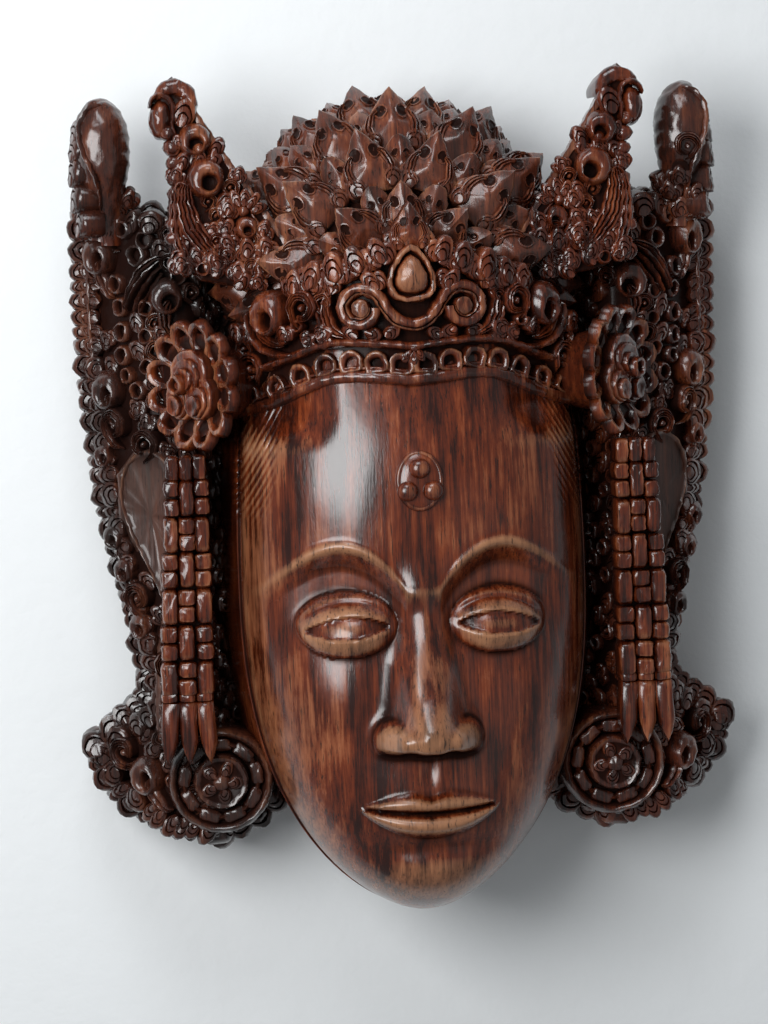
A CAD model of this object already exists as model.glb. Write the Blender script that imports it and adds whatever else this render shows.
"""Looks of the carved mask: fine relief on the solid's form, waxed dark wood, a pale floor and soft light."""

import math

import bmesh
import bpy
import numpy as np
from mathutils import Matrix, Vector


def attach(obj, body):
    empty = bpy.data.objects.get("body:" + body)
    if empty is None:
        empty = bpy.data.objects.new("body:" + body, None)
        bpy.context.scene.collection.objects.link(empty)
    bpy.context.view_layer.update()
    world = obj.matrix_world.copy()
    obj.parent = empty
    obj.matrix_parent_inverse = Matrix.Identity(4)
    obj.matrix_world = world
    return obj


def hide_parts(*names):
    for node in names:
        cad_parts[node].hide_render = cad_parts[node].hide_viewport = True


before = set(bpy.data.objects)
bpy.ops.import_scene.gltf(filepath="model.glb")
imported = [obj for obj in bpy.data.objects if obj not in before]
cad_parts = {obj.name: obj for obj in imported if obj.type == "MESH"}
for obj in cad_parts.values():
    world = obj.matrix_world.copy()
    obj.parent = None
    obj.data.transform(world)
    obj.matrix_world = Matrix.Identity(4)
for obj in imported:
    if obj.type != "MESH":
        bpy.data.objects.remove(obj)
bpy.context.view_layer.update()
rng = np.random.default_rng(7)

# Layout in design millimetres, as in the solid: x to the right, y to the crown, z out of the face
MM = 0.001
MIDDLE_Y = 9.25  # middle of the mask's footprint, which is the frame's origin
HAIR_Y = 46.0
CHIN_Y = -142.0
THIRD = (HAIR_Y - CHIN_Y) / 3
BROW_Y = HAIR_Y - THIRD
NOSE_BASE_Y = BROW_Y - THIRD
MOUTH_Y = NOSE_BASE_Y - THIRD / 3
EYE_Y = BROW_Y - 0.28 * THIRD
HALF_FACE = 62.0
EYE_X = 2 * HALF_FACE / 5 + 2.0
EYE_HALF = HALF_FACE / 4
CHEEK_Y = BROW_Y - 3.0
RIM_Z = 56.0
FRONT_Z = 95.0
WALL = 12.0
HOLLOW_TOP_Y = 27.0
ORNAMENT_Y = 15.6
DOME_MIDDLE = np.array([0.0, 88.0, 20.0])
DOME_RADII = np.array([58.0, 58.0, 60.0])
DOME_REACH = 104  # degrees that the leaves reach to each side of the mask's up
TIARA_HALF = 63.0
SCROLL = (17.5, 76.0)
ROSETTE = np.array([77.5, 51.0, 66.0])
ROSETTE_TILT = math.radians(50)
PLUG = np.array([72.0, -93.0, 54.0])
TASSEL_TOP = np.array([80.5, 18.0, 72.0])
TASSEL_FOOT = np.array([83.0, -60.0, 66.0])
BULB_X = 105.8
BULB_Y = 139.0  # where the bulb's round top starts
BULB_RISE = 15.6
BULB_RADIUS = 10.4
POST_HEIGHTS = [102, 112, 122, 131, BULB_Y]
POST_RADII = [9.2, 8.6, 9.4, 10.2, BULB_RADIUS]

CAD_LOW = (-122.3, -141.98, 0.02)  # no vertex goes outside the solid's own box
CAD_HIGH = (122.3, 160.48, 116.24)

WING_ROOT = [(44, -98), (50, -84), (58, -50), (60, 20), (48, 60), (40, 108)]
WING_RIM = [(84, 116), (98, 117), (111, 120), (118, 114), (118.5, 80), (117, 44), (113, 8), (108, -16),
            (102.5, -40), (100, -60)]
FLARE_RIM = [(109, -70), (121, -79), (119, -91), (112, -102), (101, -111), (89, -117), (72, -120), (58, -114),
             (46, -104)]
CREST = [(62, 104), (84, 112), (105, 113), (109, 105), (109, 78), (107.5, 44), (104, 8), (99, -16), (94, -38),
         (92, -58), (101, -76), (108, -86), (101, -98), (88, -106), (72, -109), (58, -104), (57, -84),
         (63, -50), (64, 20)]
EAR = [(90, 29), (98, 28), (105, 19), (105, 4), (98, -12), (91, -30), (91, -56), (94, -80), (78, -80),
       (78, 20)]
EAR_DISH = [(84, 24), (89, 28), (95.5, 28.5), (101.5, 24.5), (105, 16.5), (105, 8), (101, -3), (95.5, -13),
            (90, -24), (86, -34), (82, -30), (81, 0)]
EAR_MIDDLE = (93, 4)
HORN = [(35, 91), (48, 110), (61, 130), (72, 147.5), (79.5, 160.5), (83.5, 157), (84.5, 151), (82, 140),
        (80, 128), (80.5, 115), (83, 98), (72, 88), (52, 84)]


def smooth(low, high, x):
    t = np.clip((np.asarray(x, float) - low) / (high - low), 0.0, 1.0)
    return t * t * (3 - 2 * t)


def bell(x, width):
    return np.exp(-((np.asarray(x, float) / width) ** 2))


# Surfaces that the carving sits on


def from_cheek(y):
    """Shares of the way from the cheekbones down to the chin and up to the hairline."""
    y = np.asarray(y, float)
    low = np.clip((CHEEK_Y - y) / (CHEEK_Y - CHIN_Y), 0, 1)
    return low, np.clip((y - CHEEK_Y) / (HAIR_Y - CHEEK_Y), 0, 2)


def half_width(y):
    low, high = from_cheek(y)
    return HALF_FACE * np.where(low > 0, (1 - low**2.5) ** 0.58, 1 - 0.05 * high**2)


def across_face(x, y):
    return np.abs(x) / np.maximum(half_width(y), 1e-6)


def egg_depth(x, y):
    low, high = from_cheek(y)
    middle = (FRONT_Z - RIM_Z) * (1 - low**6) ** 0.5 - 6 * high**2
    return RIM_Z + middle * (1 - np.clip(across_face(x, y), 0, 1) ** 2.4) ** 0.55


def brow_line(ax):
    along = np.clip((ax - 6) / (HALF_FACE - 11), 0, 1)
    return BROW_Y - 6 + 16 * np.sin(math.pi * along**0.85)


def lid_lines(ax):
    across = np.clip((ax - EYE_X) / EYE_HALF, -1, 1)
    arch = 1 - across**2
    return EYE_Y - 1.0 + 4.4 * arch - 0.8 * across, EYE_Y - 1.6 - 3.4 * arch - 0.8 * across


def eye_relief(ax, y):
    under = brow_line(ax) - y
    form = -7 * smooth(0, 9, under) * bell(ax - EYE_X, 21) * (1 - smooth(14, 34, under))
    form += 1.3 * np.exp(-np.abs(under / 1.9) ** 2.5) * bell(ax - EYE_X - 2, 24)
    globe = 1 - ((ax - EYE_X) / (EYE_HALF + 2)) ** 2 - ((y - EYE_Y) / 11.5) ** 2
    form += 6.5 * np.clip(globe, 0, 1) ** 0.6
    upper, lower = lid_lines(ax)
    inside = smooth(EYE_HALF + 0.5, EYE_HALF - 2.5, np.abs(ax - EYE_X))
    form -= 1.7 * smooth(0, 0.8, upper - y) * smooth(0, 0.8, y - lower) * inside
    form += 0.6 * bell(y - upper - 0.8, 0.9) * inside + 0.5 * bell(y - lower + 0.8, 0.9) * inside
    crease = upper + 4.6 - 0.004 * (ax - EYE_X) ** 2
    return form - 0.9 * bell(y - crease, 0.8) * smooth(EYE_HALF + 2, EYE_HALF - 6, np.abs(ax - EYE_X))


def nose_relief(ax, y):
    top, tip = BROW_Y - 5, NOSE_BASE_Y + 6
    along = np.clip((top - y) / (top - tip), 0, 1)
    under = smooth(NOSE_BASE_Y - 2, NOSE_BASE_Y + 2.5, y)
    bridge = (3 + 14 * along**1.25) * smooth(top + 14, top - 4, y)
    form = bridge * np.exp(-((ax / (7.5 + 4.0 * along)) ** 3))
    form += 4.5 * bell(ax, 9) * bell(y - tip - 2, 8)
    form += 8 * np.exp(-((((ax - 13) / 5.5) ** 2 + ((y - tip + 1) / 6.5) ** 2) ** 1.5))
    fold = np.hypot((ax - 13.0) / 6.6, (y - tip + 1) / 7.6)
    form -= 1.0 * bell(fold - 1, 0.10) * smooth(10, 14, ax) * smooth(-4, 4, y - tip + 6)
    nostril = np.hypot((ax - 6.8) / 3.4, (y - NOSE_BASE_Y - 0.6) / 1.7)
    return form * under - 3.2 * np.exp(-(nostril**4))


def mouth_relief(ax, y):
    wide = np.clip(1 - (ax / 25) ** 2, 0, 1)
    line = MOUTH_Y - 0.8 + 2.0 * (ax / 24) ** 2
    top = line + 0.1 + 7.5 * wide - 2.0 * bell(ax, 4)
    foot = line - 0.1 - 9.0 * wide**0.8
    upper = np.clip((y - line) / (top - line), 0, 1)
    lower = np.clip((line - y) / (line - foot), 0, 1)
    form = 4 * bell(ax, 30) * bell(y - MOUTH_Y, 20)
    form += 3.2 * np.sin(math.pi * upper) * wide**0.5 + 4.2 * np.sin(math.pi * lower) * wide**0.5
    form -= 1.3 * bell(y - line, 0.9) * smooth(25.5, 22, ax)
    form += 0.5 * bell(y - top, 0.7) * smooth(22, 12, ax)
    return form - 1.2 * bell(ax, 2.6) * bell(y - MOUTH_Y - 14, 6)


def hair_relief(ax, y):
    """Fine strands that fall from the band over the temples."""
    here = smooth(0.80, 0.90, across_face(ax, y) + 0.0022 * (y - 10)) * smooth(-2, 16, y)
    return 0.42 * here * np.sin(2.4 * (y * 0.75 + (ax - 50) * 1.3))


def face_depth(x, y):
    ax = np.abs(x)
    form = eye_relief(ax, y) + nose_relief(ax, y) + mouth_relief(ax, y)
    form += 5 * bell(ax, 19) * bell(y - CHIN_Y - 15, 11)
    form -= 2.5 * bell(ax, 20) * bell(y - MOUTH_Y + 13.5, 4.5)
    form += 3.5 * bell(ax - 36, 18) * bell(y - NOSE_BASE_Y - 17, 20)
    form += 3 * bell(ax, 40) * bell(y - 18, 30)
    temple = 6.5 * smooth(24, 44, ax) * smooth(HAIR_Y - 20, HAIR_Y - 4, y)
    return egg_depth(x, y) + form * (1 - np.clip(across_face(x, y), 0, 1) ** 6) - temple + hair_relief(ax, y)


def tiara_depth(x, y=0.0):
    return 92.0 - 37 * (np.abs(x) / TIARA_HALF) ** 2.2 + 0 * y


def band_low(ax):
    return 41 + 11.5 * smooth(61, 24, ax) - 1.8 * np.clip(1 - ax / 21, 0, 1) ** 1.5


def band_top(ax):
    return band_low(ax) + 11.0 + 2.0 * (ax / 61) ** 2


def wing_depth(x, y=0.0):
    return 28 + 20 * smooth(116, 88, np.abs(x)) * smooth(64, 78, np.abs(x)) + 0 * y


def lobe_depth(x, y):
    return wing_depth(x, y) + 1.0 + 0.02 * y


def horn_depth(x, y):
    return 66.5 - 0.05 * (y - 96) + 0 * x


def horn_back(x, y):
    return 53.5 - 26 * smooth(130, 96, y) + 0 * x


def bulb_middle(y):
    return 34 + 10 * smooth(100, 132, y)


def bulb_front(x, y):
    heights = [*POST_HEIGHTS, 145, 150, 153.5]
    radius = np.interp(y, heights, [*POST_RADII, 9.6, 7.4, 4.0])
    return bulb_middle(y) + np.sqrt(np.maximum(radius**2 - (x - BULB_X) ** 2, 4.0))


def ear_depth(x, y):
    return 43 - 0.16 * np.maximum(0.0, np.abs(x) - 92) ** 1.2 + 0.02 * y


def level(z):
    return lambda x, y: z + 0 * x


def lowered(surface, drop):
    return lambda x, y: surface(x, y) - drop


band_depth = lowered(tiara_depth, 1.5)
wing_base = level(28.0)
wing_side = level(19.0)

# Forms in millimetres: (vertices, quads, triangles, age), where age is 1 in a cut and -1 on a worn edge.
# A ring is (share of the outline, height, age). A section's point is (share of the half width, height, age).

NO_QUADS = np.zeros((0, 4), int)
NO_TRIS = np.zeros((0, 3), int)
DRILLED_RINGS = [(1, -3, 0.9), (1, -0.2, 0.3), (0.95, 0.7, 0), (0.84, 1.3, -0.35), (0.70, 1.4, -0.25),
                 (0.58, 0.9, 0.2), (0.52, -0.4, 0.9), (0.46, -3, 1), (0.2, -3.4, 1)]
BEAD_RINGS = [(1, -2.5, 0.6), (1, 0, 0.4), (0.93, 0.5, 0.1), (0.78, 1.0, -0.1), (0.55, 1.4, -0.25),
              (0.28, 1.62, -0.3)]
LOBE_RINGS = [(1, -0.6, 0.8), (1, 0.04, 0.3), (0.93, 0.17, -0.4), (0.77, 0.21, 0.1), (0.73, 0.05, 1),
              (0.68, 0.22, 0.2), (0.51, 0.26, 0.1), (0.47, 0.10, 1), (0.42, 0.26, 0.2), (0.15, 0.30, -0.1)]
DOME_RINGS = [(1, -0.3, 0.8), (1, 0.04, 0.3), (0.97, 0.12, 0.1), (0.91, 0.21, 0), (0.82, 0.29, -0.1),
              (0.70, 0.345, -0.15), (0.58, 0.36, -0.2), (0.48, 0.33, -0.3), (0.41, 0.25, 0.1),
              (0.37, 0.05, 0.9), (0.34, -0.2, 1), (0.2, -0.25, 1)]
CELL_RINGS = [(1, -10, 1), (1, -0.2, 0.4), (0.93, 1.1, -0.6), (0.80, 2.0, -0.8), (0.5, 2.2, -0.2),
              (0.1, 2.3, -0.2)]
ROUND = [(-1, -2.5, 0.7), (-1, 0, 0.5), (-0.85, 0.5, 0.1), (-0.5, 0.86, -0.2), (0, 1, -0.35),
         (0.5, 0.86, -0.2), (0.85, 0.5, 0.1), (1, 0, 0.5), (1, -2.5, 0.7)]


def unit(v):
    return v / np.maximum(np.linalg.norm(v, axis=-1, keepdims=True), 1e-9)


def rotated(first, second, degrees):
    """Two directions turned in their own plane, the first towards the second."""
    c, s = math.cos(math.radians(degrees)), math.sin(math.radians(degrees))
    return c * first + s * second, c * second - s * first


def spun(degrees):
    """Axes turned about Z."""
    c, s = math.cos(math.radians(degrees)), math.sin(math.radians(degrees))
    return np.array([[c, -s, 0.0], [s, c, 0.0], [0.0, 0.0, 1.0]])


def grid_faces(rows, columns, closed=False):
    i, j = np.meshgrid(np.arange(rows - 1), np.arange(columns if closed else columns - 1), indexing="ij")
    k = (j + 1) % columns
    corners = [i * columns + j, i * columns + k, (i + 1) * columns + k, (i + 1) * columns + j]
    return np.stack(corners, -1).reshape(-1, 4)


def sheet(rows, tone=0.0, flip=False):
    count, wide = rows.shape[:2]
    quads = grid_faces(count, wide)
    tones = np.broadcast_to(tone, (count, wide)).reshape(-1).copy()
    return rows.reshape(-1, 3), quads[:, ::-1] if flip else quads, NO_TRIS, tones


def stamp(outline, rings, anchor=(0.0, 0.0)):
    """A form of rings: each is the outline shrunk towards an anchor, at its own height and age."""
    outline, anchor = np.asarray(outline, float), np.asarray(anchor, float)
    count = len(outline)
    shrunk = [(anchor + (outline - anchor) * share, np.full(count, z)) for share, z, _ in rings]
    verts = [*map(np.column_stack, shrunk), [[*anchor, rings[-1][1]]]]
    age = np.append(np.repeat([tone for _, _, tone in rings], count), rings[-1][2])
    last = count * (len(rings) - 1)
    turn = np.arange(count)
    fan_faces = np.column_stack([last + turn, last + (turn + 1) % count, np.full(count, count * len(rings))])
    return np.vstack(verts), grid_faces(len(rings), count, True), fan_faces, age


def lathe(profile, count):
    """A turned form about Z through (radius, height, age) points, from its foot up."""
    radius, z, tone = np.array(profile, float).T
    turn = np.linspace(0, math.tau, count, endpoint=False)
    rings = [radius[:, None] * np.cos(turn), radius[:, None] * np.sin(turn), np.repeat(z[:, None], count, 1)]
    verts = np.stack(rings, -1).reshape(-1, 3)
    return verts, grid_faces(len(z), count, True), NO_TRIS, np.repeat(tone, count)


def oval(width, length, count=24, pinch=0.0):
    """An oval outline, narrower at its foot by pinch."""
    turn = np.linspace(0, math.tau, count, endpoint=False)
    x = 0.5 * width * np.cos(turn) * (1 + pinch * np.sin(turn))
    return np.column_stack([x, 0.5 * length * np.sin(turn)])


def rounded_box(width, length, power=5.0, count=28):
    turn = np.linspace(0, math.tau, count, endpoint=False)
    c, s = np.cos(turn), np.sin(turn)
    x, y = (np.sign(part) * np.abs(part) ** (2 / power) for part in (c, s))
    return np.column_stack([0.5 * width * x, 0.5 * length * y])


def drop(width, length, count=17, fullness=0.6):
    """A drop's outline from its foot at the origin to its tip at +Y."""
    share = np.linspace(0, 1, count)
    half = 0.5 * width * np.sin(math.pi * share**fullness) ** fullness
    half[0] = 0.14 * width
    right = np.column_stack([half, share * length])
    return np.vstack([right, right[-2::-1] * (-1, 1)])


def fluted(ridges, groove=0.75):
    """A section of ridges with sharp cuts between them, highest at its middle."""
    share = np.linspace(0, 1, 4 * ridges + 1)
    wave = np.abs(np.sin(math.pi * ridges * share)) ** 0.55
    z = (0.55 + 0.6 * np.sin(math.pi * share)) * (1 - groove * (1 - wave))
    return [(-1, -2.5, 0.9), *zip(2 * share - 1, z, 0.95 - 1.25 * wave), (1, -2.5, 0.9)]


def lengths(points):
    """Distances along a polyline to each of its points."""
    return np.concatenate([[0], np.cumsum(np.linalg.norm(np.diff(points, axis=0), axis=1))])


def even(points, count):
    """Even points along a polyline."""
    points = np.asarray(points, float)
    run = lengths(points)
    return np.column_stack([np.interp(np.linspace(0, run[-1], count), run, column) for column in points.T])


def fair(points, count):
    """Even points along a smooth curve through the given ones."""
    line = even(points, count)
    for _ in range(max(1, count // (2 * len(points)))):
        line[1:-1] = 0.25 * line[:-2] + 0.5 * line[1:-1] + 0.25 * line[2:]
    return line


def arc(x, y, radius, start, end, count, squash=1.0):
    turn = np.radians(np.linspace(start, end, count))
    return np.column_stack([x + radius * np.cos(turn), y + squash * radius * np.sin(turn)])


def curl(x, y, outer, inner, start, turns, count):
    share = np.linspace(0, 1, count)
    turn = np.radians(start + 360 * turns * share)
    radius = outer + (inner - outer) * share**0.85
    return np.column_stack([x + radius * np.cos(turn), y + radius * np.sin(turn)])


def bent(start, pull, end, count):
    """A curve from start to end, drawn towards pull."""
    t = np.linspace(0, 1, count)[:, None]
    return (1 - t) ** 2 * np.array(start) + 2 * t * (1 - t) * np.array(pull) + t**2 * np.array(end)


def beside(path, distance):
    """The path moved to its right."""
    way = unit(np.gradient(path, axis=0))
    return path + distance * np.column_stack([way[:, 1], -way[:, 0]])


def swell(wide, thin=0.25, peak=0.5):
    """Half width that swells from thin ends to its widest at peak."""
    power = math.log(0.5) / math.log(peak)
    return lambda share: wide * (thin + (1 - thin) * np.sin(math.pi * share**power))


def normals_on(surface, x, y, step=0.4):
    slope_x = (surface(x + step, y) - surface(x - step, y)) / (2 * step)
    slope_y = (surface(x, y + step) - surface(x, y - step)) / (2 * step)
    return unit(np.stack([-slope_x, -slope_y, np.ones_like(slope_x)], -1))


def sweep(path, outs, half, section, height=1.0, tapered=True):
    """A section along a path: half is its half width, height scales its rise, and tapered ends run out."""
    count = len(path)
    share = np.linspace(0, 1, count)
    half = np.broadcast_to(half(share) if callable(half) else float(half), count)
    rise = smooth(-0.02, 0.07, share) * smooth(1.02, 0.93, share) if tapered else np.ones(count)
    across = unit(np.cross(unit(np.gradient(path, axis=0)), outs))
    side, z, tone = np.array(section, float).T
    lift = z[None, :] * height * rise[:, None] - 0.6 * (1 - rise[:, None])
    width = (half * (0.35 + 0.65 * rise))[:, None] * side[None, :]
    verts = path[:, None] + across[:, None] * width[..., None] + outs[:, None] * lift[..., None]
    return verts.reshape(-1, 3), grid_faces(count, len(tone)), NO_TRIS, np.tile(tone, count)


def draw(surface, points, half, section=ROUND, height=1.0, lift=0.0, count=None, tapered=True):
    """A moulding that follows a path over a surface."""
    line = fair(points, count or max(8, int(lengths(points)[-1] / 0.9)))
    outs = normals_on(surface, line[:, 0], line[:, 1])
    path = np.column_stack([line, surface(line[:, 0], line[:, 1])]) + lift * outs
    return sweep(path, outs, half, section, height, tapered)


def ribbon(path, half, section, height, lift):
    """A moulding along a path that lies flat."""
    line = np.column_stack([path, np.broadcast_to(lift, len(path))])
    return sweep(line, np.tile([0.0, 0.0, 1.0], (len(path), 1)), half, section, height)


def seat(surface, x, y, turn=0.0, lift=0.0, lean=0.0):
    """Origin and axes (across, along, out) of a form on a surface, turned from the mask's up."""
    out = normals_on(surface, np.array([x], float), np.array([y], float))[0]
    across = unit(np.cross([0.0, 1.0, 0.0], out))
    across, along = rotated(across, np.cross(out, across), turn)
    along, tipped = rotated(along, out, lean)
    origin = np.array([x, y, float(surface(np.float64(x), np.float64(y)))]) + lift * out
    return origin, np.column_stack([across, along, tipped])


def placed(form, origin, axes=None, size=(1.0, 1.0, 1.0)):
    verts, quads, tris, age = form
    if np.prod(size) < 0:
        quads, tris = quads[:, ::-1], tris[:, ::-1]
    return (verts * size) @ (np.eye(3) if axes is None else axes).T + origin, quads, tris, age


def moved(form, x, y, z=0.0, turn=0.0):
    return placed(form, np.array([x, y, z]), spun(turn))


def merge(*forms):
    start, gathered = 0, ([], [], [], [])
    for verts, quads, tris, age in forms:
        for store, part in zip(gathered, (verts, quads + start, tris + start, age)):
            store.append(part)
        start += len(verts)
    verts, quads, tris, age = gathered
    return np.vstack(verts), np.vstack(quads), np.vstack(tris), np.concatenate(age)


class Piece:
    """One mesh of the mask, gathered from forms in design millimetres."""

    def __init__(self, name, dry=0.0, dark=0.0, rub=0.45):
        self.name = name
        self.dry = dry
        self.dark = dark
        self.rub = rub
        self.forms = []

    def once(self, form):
        self.forms.append(form)

    def pair(self, form):
        """A form and its mirror image across the midline."""
        verts, quads, tris, age = form
        self.forms += [form, (verts * (-1, 1, 1), quads[:, ::-1], tris[:, ::-1], age)]

    def put(self, form, surface, x, y, turn=0.0, lift=0.0, lean=0.0, tall=1.0, hand=1.0, loose=1.0):
        """Seats a form, and its twin where it is off the midline, each a little off as a hand carves it."""
        for side in (1, -1) if x else (1,):
            nudge = loose * rng.normal(0, (0.25, 0.25, 2.0, 0.025), 4)
            at = seat(surface, side * (x + nudge[0]), y + nudge[1], side * (turn + nudge[2]), lift, lean)
            self.once(placed(form, *at, (1 + nudge[3]) * np.array([side * hand, 1, tall])))

    def build(self, material):
        verts = np.vstack([form[0] for form in self.forms])
        starts = np.cumsum([0] + [len(form[0]) for form in self.forms])
        quads, tris = (
            np.vstack([form[kind] + start for form, start in zip(self.forms, starts)]).astype(np.int32)
            for kind in (1, 2)
        )
        if self.name != "head":
            for reach, waves in ((0.16, 1.3), (0.10, 2.6)):
                phase = 1.7 * np.sin(0.6 * verts[:, [2, 0, 1]])
                verts = verts + reach * np.sin(verts[:, [1, 2, 0]] * waves + phase)
        verts = np.clip(verts, CAD_LOW, CAD_HIGH)
        mesh = bpy.data.meshes.new(self.name)
        mesh.vertices.add(len(verts))
        mesh.vertices.foreach_set("co", ((verts - (0, MIDDLE_Y, 0)) * MM).astype(np.float32).ravel())
        mesh.loops.add(quads.size + tris.size)
        mesh.loops.foreach_set("vertex_index", np.concatenate([quads.ravel(), tris.ravel()]))
        mesh.polygons.add(len(quads) + len(tris))
        corners = np.concatenate([4 * np.arange(len(quads)), quads.size + 3 * np.arange(len(tris))])
        mesh.polygons.foreach_set("loop_start", corners.astype(np.int32))
        mesh.update(calc_edges=True)
        for name, values in self.shades(verts).items():
            mesh.attributes.new(name, "FLOAT", "POINT").data.foreach_set("value", values.astype(np.float32))
        mesh.shade_smooth()
        mesh.set_sharp_from_angle(angle=math.radians(52))
        mesh.materials.append(material)
        piece = added(self.name, mesh)
        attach(piece, "root")
        return piece

    def shades(self, verts):
        """What the wood reads at each vertex, where the dark is strongest on the viewer's left."""
        age = np.concatenate([form[3] for form in self.forms])
        dark = self.dark * np.where(verts[:, 0] < 0, 1.0, 0.55)
        bulbs = smooth(86, 98, np.abs(verts[:, 0])) * smooth(100, 112, verts[:, 1])
        return {
            "age": np.where(age < 0, self.rub * age, age),
            "dry": np.full(len(age), self.dry),
            "dark": np.maximum(dark, 0.75 * bulbs),
        }


def added(name, data):
    """A new object of the scene."""
    thing = bpy.data.objects.new(name, data)
    bpy.context.scene.collection.objects.link(thing)
    return thing


def halves(piece):
    """The piece as two, left and right of the midline."""
    for side, sign in (("left", -1), ("right", 1)):
        half = Piece(f"{piece.name}_{side}", piece.dry, piece.dark, piece.rub)
        half.forms = [form for form in piece.forms if sign * form[0][:, 0].mean() > 0]
        yield half


def rounded_slab(outline, low, high, bevel):
    """A flat slab with rounded edges, as a bmesh about z = 0."""
    curve = bpy.data.curves.new("plate", "CURVE")
    curve.dimensions = "2D"
    curve.fill_mode = "BOTH"
    curve.extrude = (high - low) / 2 - bevel
    curve.bevel_depth = bevel
    curve.bevel_resolution = 2
    curve.offset = -bevel
    spline = curve.splines.new("POLY")
    spline.points.add(len(outline) - 1)
    for point, (x, y) in zip(spline.points, outline, strict=True):
        point.co = (x, y, 0.0, 1.0)
    spline.use_cyclic_u = True
    guide = added("guide", curve)
    mesh = bpy.data.meshes.new_from_object(guide.evaluated_get(bpy.context.evaluated_depsgraph_get()))
    bpy.data.objects.remove(guide)
    slab = bmesh.new()
    slab.from_mesh(mesh)
    bmesh.ops.remove_doubles(slab, verts=slab.verts, dist=1e-3)
    bmesh.ops.recalc_face_normals(slab, faces=slab.faces)
    return slab


def plate(outline, low, high, front, step, bevel, tone, back=None):
    """A cut plate with rounded edges, its front and back laid on surfaces."""
    slab = rounded_slab(outline, low, high, bevel)
    xs, ys = np.array(outline).T
    cuts = [((x, 0, 0), (1, 0, 0)) for x in np.arange(xs.min() + step, xs.max(), step)]
    cuts += [((0, y, 0), (0, 1, 0)) for y in np.arange(ys.min() + step, ys.max(), step)]
    for place, normal in cuts:
        everything = slab.verts[:] + slab.edges[:] + slab.faces[:]
        bmesh.ops.bisect_plane(slab, geom=everything, plane_co=place, plane_no=normal)
    bmesh.ops.triangulate(slab, faces=slab.faces)
    slab.verts.index_update()
    middle = (low + high) / 2
    verts = np.array([vert.co[:] for vert in slab.verts]) + (0, 0, middle)
    tris = np.array([[vert.index for vert in face.verts] for face in slab.faces])
    slab.free()
    x, y, z = verts.T.copy()
    age = np.where(z > high - 0.3 * bevel, tone, 0.35)
    upper = z > middle
    verts[upper, 2] = front(x[upper], y[upper]) - (high - z[upper])
    if back:
        verts[~upper, 2] = back(x[~upper], y[~upper]) + (z[~upper] - low)
    return verts, NO_QUADS, tris, age


def scalloped(points, pitch, depth, steps=6):
    """The polyline, clockwise round a form, as rounded bumps, and each bump's place, turn and width."""
    run = lengths(points)
    count = max(1, round(run[-1] / pitch))
    share = np.linspace(0, count, count * steps + 1)
    edges = np.concatenate([[0], np.cumsum(rng.choice([0.75, 1.0, 1.35], count))])
    along = np.interp(share, np.arange(count + 1), edges * run[-1] / edges[-1])
    line = np.column_stack([np.interp(along, run, column) for column in np.array(points, float).T])
    ahead = unit(np.gradient(line, axis=0))
    inward = np.column_stack([ahead[:, 1], -ahead[:, 0]])
    rim = line + inward * (depth * (1 - np.sin(math.pi * (share % 1.0)) ** 0.6))[:, None]
    middle = steps // 2 + steps * np.arange(count)
    turns = np.degrees(np.arctan2(inward[middle, 0], -inward[middle, 1]))
    return rim, np.column_stack([line[middle], turns, np.diff(edges) * run[-1] / edges[-1]])


# Foliage and small forms


def cell(width, length):
    """A block with cut corners."""
    return stamp(rounded_box(width, length, 5, 20), CELL_RINGS)


def drilled(width):
    return stamp(oval(width, width, 16), DRILLED_RINGS)


def bead(width, length, count=12):
    return stamp(oval(width, length, count), BEAD_RINGS)


def lobe(width, length):
    rings = [(share, z * width, tone) for share, z, tone in LOBE_RINGS]
    return stamp(oval(width, length, 14, -0.10), rings, (0, -0.46 * length))


def frond(radius, tail=2.2, ribs=2):
    """A curled leaf: a fluted band from its foot, up and round a bead."""
    share = np.linspace(0, 1, 22)
    reach = radius * (1 - 0.38 * share**1.1)
    turn = math.tau * 0.80 * share
    stem = radius * bent((-0.3, -tail), (1.0, -0.5 * tail), (1.0, 0.0), 10)[:-1]
    line = np.vstack([stem, np.column_stack([reach * np.cos(turn), reach * np.sin(turn)])])
    lift = (0.05 + 0.30 * np.linspace(0, 1, len(line))) * radius
    line = beside(line, 0.12 * radius)
    band = ribbon(line, swell(0.46 * radius, 0.30), fluted(2 + ribs), 0.50 * radius, lift)
    return merge(band, moved(bead(0.66 * radius, 0.66 * radius, 14), 0, 0, 0.25 * radius))


def crescent(wide, rise=1.0, tailed=True):
    """A glossy dome with a deep hole near its foot, out of which a fluted tail may run."""
    rings = [(share, z * wide * rise, tone) for share, z, tone in DOME_RINGS]
    dome = stamp(oval(wide, 1.06 * wide, 26), rings, (-0.17 * wide, -0.24 * wide))
    if not tailed:
        return dome
    path = wide * bent((-0.12, -0.12), (0.22, -0.55), (-0.20, -1.15), 24)
    half = swell(0.22 * wide, 0.35, 0.45)
    return merge(dome, ribbon(path, half, fluted(3), 0.20 * wide * rise, 0.03 * wide))


def trefoil(size):
    """Three overlapping round lobes with nested cuts, the middle one on top."""
    side = lobe(0.66 * size, 0.80 * size)
    return merge(moved(side, -0.27 * size, 0.20 * size, 0, 34), moved(side, 0.27 * size, 0.20 * size, 0, -34),
                 moved(lobe(0.66 * size, 0.92 * size), 0, 0.40 * size, 0.09 * size))


def fan(size, lobes=5, spread=120.0):
    """A shell of narrow lobes side by side."""
    parts = []
    for k in range(lobes):
        turn = spread * (k / (lobes - 1) - 0.5)
        x, y, _ = 0.62 * size * spun(turn)[:, 1]
        parts.append(moved(lobe(0.40 * size, 0.70 * size), x, y, 0.03 * size * (k % 2), turn))
    return merge(*parts, moved(bead(0.42 * size, 0.42 * size, 16), 0, 0.12 * size, 0.4))


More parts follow.
